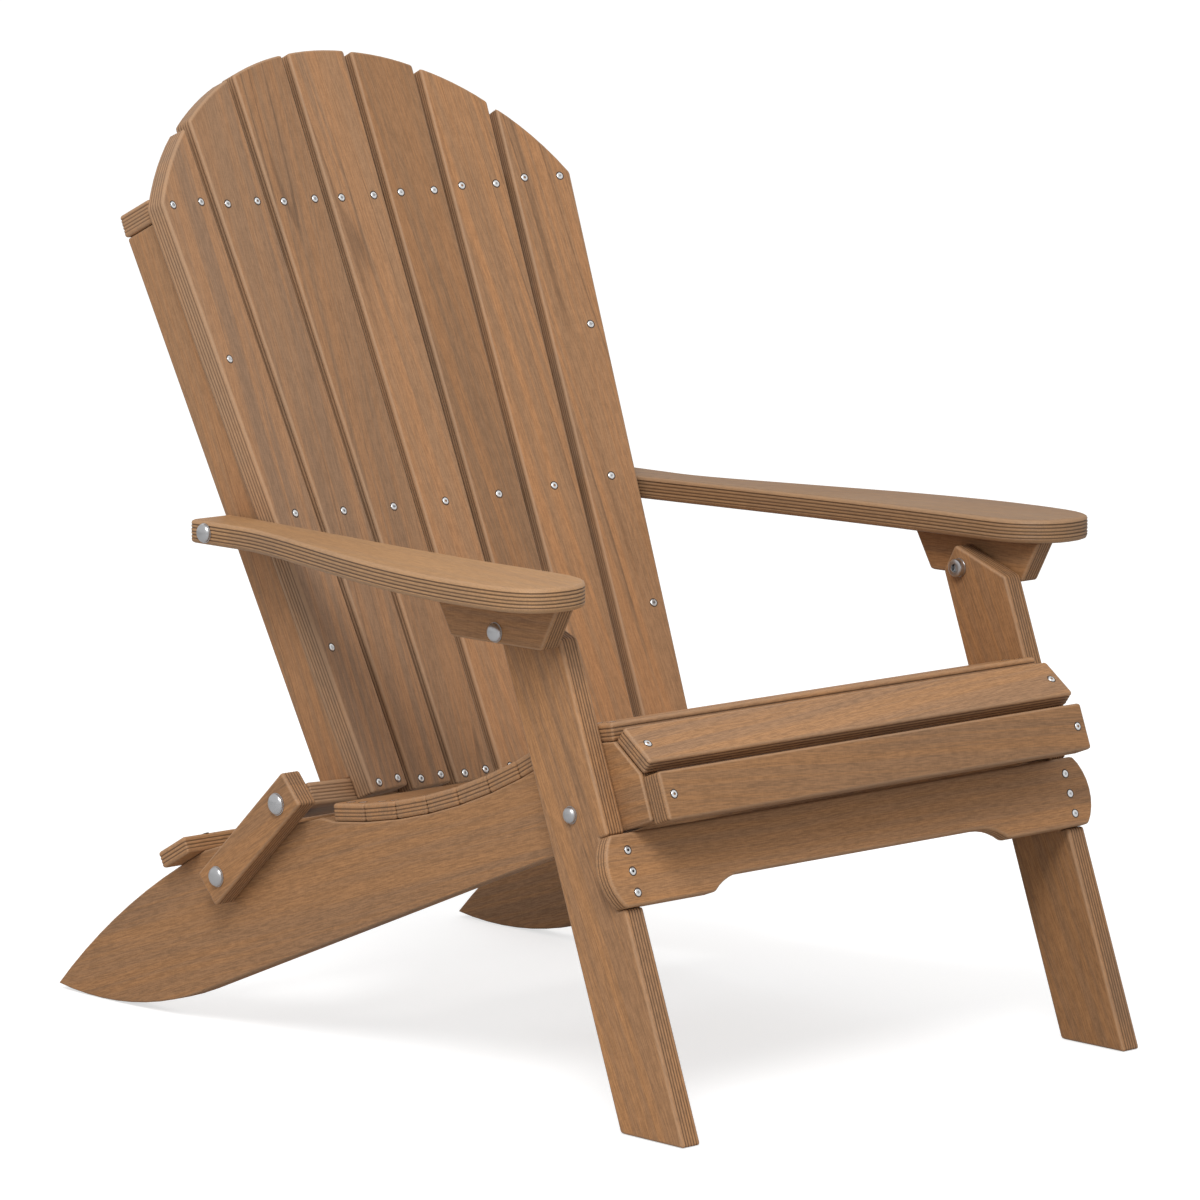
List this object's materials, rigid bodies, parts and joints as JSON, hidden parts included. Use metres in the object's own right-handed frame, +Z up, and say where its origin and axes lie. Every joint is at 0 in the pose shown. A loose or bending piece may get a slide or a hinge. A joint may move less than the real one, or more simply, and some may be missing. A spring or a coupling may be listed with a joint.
{
  "type": "folding adirondack chair",
  "caption": "Folding adirondack garden chair with a fanned, arch-topped slatted back, dished slatted seat, broad paddle arms and hinged front legs.",
  "frame": {"origin": "centre of the bounding box at floor level", "axes": "+Z up, the sitter faces -Y, +X is on the sitter's left"},
  "size_m": [0.7896, 0.9647, 0.9657],
  "materials": {
    "wood_grain_board": "wood-grain moulded outdoor board, matt",
    "stainless_steel": "satin stainless steel"
  },
  "bodies": {
    "seat_frame": {"left_leg_pivot_bolt": "stainless_steel", "left_leg_pivot_nut": "stainless_steel", "left_link_pivot_bolt": "stainless_steel", "left_link_pivot_nut": "stainless_steel", "left_stringer": "wood_grain_board", "rear_cross_board": "wood_grain_board", "right_leg_pivot_bolt": "stainless_steel", "right_leg_pivot_nut": "stainless_steel", "right_link_pivot_bolt": "stainless_steel", "right_link_pivot_nut": "stainless_steel", "right_stringer": "wood_grain_board", "seat_fascia": "wood_grain_board", "seat_nosing": "wood_grain_board", "seat_slat_1": "wood_grain_board", "seat_slat_2": "wood_grain_board", "seat_slat_3": "wood_grain_board", "seat_slat_4": "wood_grain_board", "seat_slat_5": "wood_grain_board", "seat_slat_6": "wood_grain_board", "seat_slat_7": "wood_grain_board", "seat_slat_8": "wood_grain_board", "seat_slat_9": "wood_grain_board"},
    "front_legs": {"apron": "wood_grain_board", "left_apron_screw_1": "stainless_steel", "left_apron_screw_2": "stainless_steel", "left_apron_screw_3": "stainless_steel", "left_front_leg": "wood_grain_board", "right_apron_screw_1": "stainless_steel", "right_apron_screw_2": "stainless_steel", "right_apron_screw_3": "stainless_steel", "right_front_leg": "wood_grain_board"},
    "arms": {"left_arm": "wood_grain_board", "left_arm_block": "wood_grain_board", "left_arm_pivot_bolt": "stainless_steel", "left_arm_pivot_nut": "stainless_steel", "left_arm_rear_bolt": "stainless_steel", "right_arm": "wood_grain_board", "right_arm_block": "wood_grain_board", "right_arm_pivot_bolt": "stainless_steel", "right_arm_pivot_nut": "stainless_steel", "right_arm_rear_bolt": "stainless_steel"},
    "links": {"left_link": "wood_grain_board", "left_rail_bolt": "stainless_steel", "right_link": "wood_grain_board", "right_rail_bolt": "stainless_steel"},
    "back": {"back_slat_1": "wood_grain_board", "back_slat_2": "wood_grain_board", "back_slat_3": "wood_grain_board", "back_slat_4": "wood_grain_board", "back_slat_5": "wood_grain_board", "back_slat_6": "wood_grain_board", "back_slat_7": "wood_grain_board", "left_arm_rear_insert": "stainless_steel", "left_back_stile": "wood_grain_board", "lower_back_rail": "wood_grain_board", "mid_back_rail": "wood_grain_board", "right_arm_rear_insert": "stainless_steel", "right_back_stile": "wood_grain_board", "upper_back_rail": "wood_grain_board"}
  },
  "joints": [
    {"name": "front_leg_fold", "type": "hinge", "parent": "seat_frame", "child": "front_legs", "pos_m": [0, -0.3304, 0.295], "axis": [1, 0, 0], "range_deg": [0, 88]},
    {"name": "arm_fold", "type": "hinge", "parent": "front_legs", "child": "arms", "pos_m": [0, -0.2522, 0.4624], "axis": [1, 0, 0], "range_deg": [-79.93, 0]},
    {"name": "link_swing", "type": "hinge", "parent": "seat_frame", "child": "links", "pos_m": [0, 0.1923, 0.1622], "axis": [1, 0, 0], "range_deg": [-33.5, 0]},
    {"name": "back_fold", "type": "hinge", "parent": "links", "child": "back", "pos_m": [0, 0.0983, 0.2484], "axis": [1, 0, 0], "range_deg": [0, 102.13]}
  ],
  "couplings": [
    {"joint": "arm_fold", "follows": "front_leg_fold", "ratio": -0.90262},
    {"joint": "link_swing", "follows": "front_leg_fold", "ratio": -0.375},
    {"joint": "back_fold", "follows": "front_leg_fold", "ratio": 1.1549}
  ]
}
